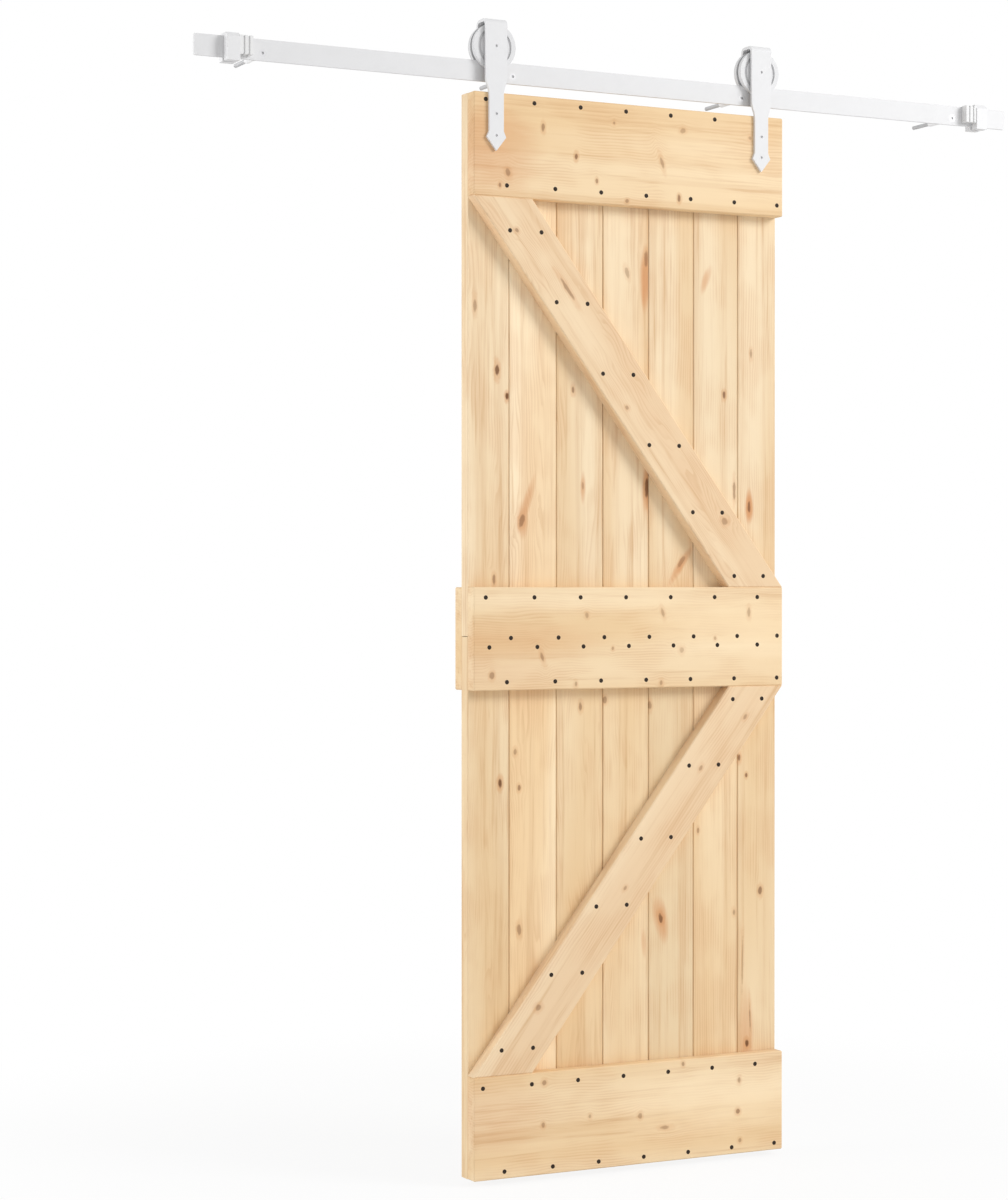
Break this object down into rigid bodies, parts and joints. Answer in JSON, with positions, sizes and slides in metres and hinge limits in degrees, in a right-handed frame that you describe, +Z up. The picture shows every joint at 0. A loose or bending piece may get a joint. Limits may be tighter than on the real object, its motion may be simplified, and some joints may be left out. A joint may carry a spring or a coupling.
{
  "type": "sliding barn door",
  "caption": "Ledged and braced pine door that slides on grooved wheels along a flat steel wall track, with hangers, spacers and end stops.",
  "frame": {"origin": "on the wall plane, at the middle of the row of wall screws that carry the track", "axes": "+X right along the track, +Y into the wall, +Z up; the door's face looks along -Y"},
  "size_m": [1.83, 0.158, 2.2418],
  "materials": {
    "board_timber": "planed softwood, unfinished",
    "frame_timber": "planed softwood, unfinished",
    "black_screw": "black phosphate",
    "hanger_steel": "pale satin coat",
    "wheel_coat": "pale satin coat",
    "track_steel": "pale satin coat",
    "stop_steel": "pale satin coat",
    "zinc_steel": "bright zinc",
    "bearing_steel": "ground",
    "buffer_rubber": "pale grey rubber"
  },
  "bodies": {
    "track": {"track": "track_steel", "track_spacers": "zinc_steel", "wall_screws": "zinc_steel", "stop_left": "stop_steel", "stop_screw_left": "zinc_steel", "buffer_front_left": "buffer_rubber", "buffer_rear_left": "buffer_rubber", "stop_right": "stop_steel", "stop_screw_right": "zinc_steel", "buffer_front_right": "buffer_rubber", "buffer_rear_right": "buffer_rubber"},
    "door": {"board_upper_1": "board_timber", "board_lower_1": "board_timber", "board_upper_2": "board_timber", "board_lower_2": "board_timber", "board_upper_3": "board_timber", "board_lower_3": "board_timber", "board_upper_4": "board_timber", "board_lower_4": "board_timber", "board_upper_5": "board_timber", "board_lower_5": "board_timber", "board_upper_6": "board_timber", "board_lower_6": "board_timber", "board_upper_7": "board_timber", "board_lower_7": "board_timber", "top_ledge": "frame_timber", "middle_ledge": "frame_timber", "bottom_ledge": "frame_timber", "back_ledge": "frame_timber", "upper_brace": "frame_timber", "lower_brace": "frame_timber", "top_ledge_screws": "black_screw", "middle_ledge_screws": "black_screw", "bottom_ledge_screws": "black_screw", "upper_brace_screws": "black_screw", "lower_brace_screws": "black_screw", "hanger_left": "hanger_steel", "hanger_right": "hanger_steel", "bearing_inners": "bearing_steel", "axle_bolts": "zinc_steel", "axle_nuts": "zinc_steel", "hanger_bolts": "zinc_steel", "hanger_nuts": "zinc_steel"},
    "wheel_left": {"wheel_left": "wheel_coat"},
    "wheel_right": {"wheel_right": "wheel_coat"}
  },
  "joints": [
    {"name": "door_slide", "type": "slide", "parent": "track", "child": "door", "axis": [1, 0, 0], "range_m": [-0.4631, 0.4711]},
    {"name": "wheel_left_spin", "type": "hinge", "parent": "door", "child": "wheel_left", "pos_m": [-0.304, -0.077, 0.0528], "axis": [0, 1, 0], "continuous": true},
    {"name": "wheel_right_spin", "type": "hinge", "parent": "door", "child": "wheel_right", "pos_m": [0.296, -0.077, 0.0528], "axis": [0, 1, 0], "continuous": true}
  ],
  "couplings": [
    {"joint": "wheel_left_spin", "follows": "door_slide", "rad_per_m": 37.037},
    {"joint": "wheel_right_spin", "follows": "door_slide", "rad_per_m": 37.037}
  ]
}
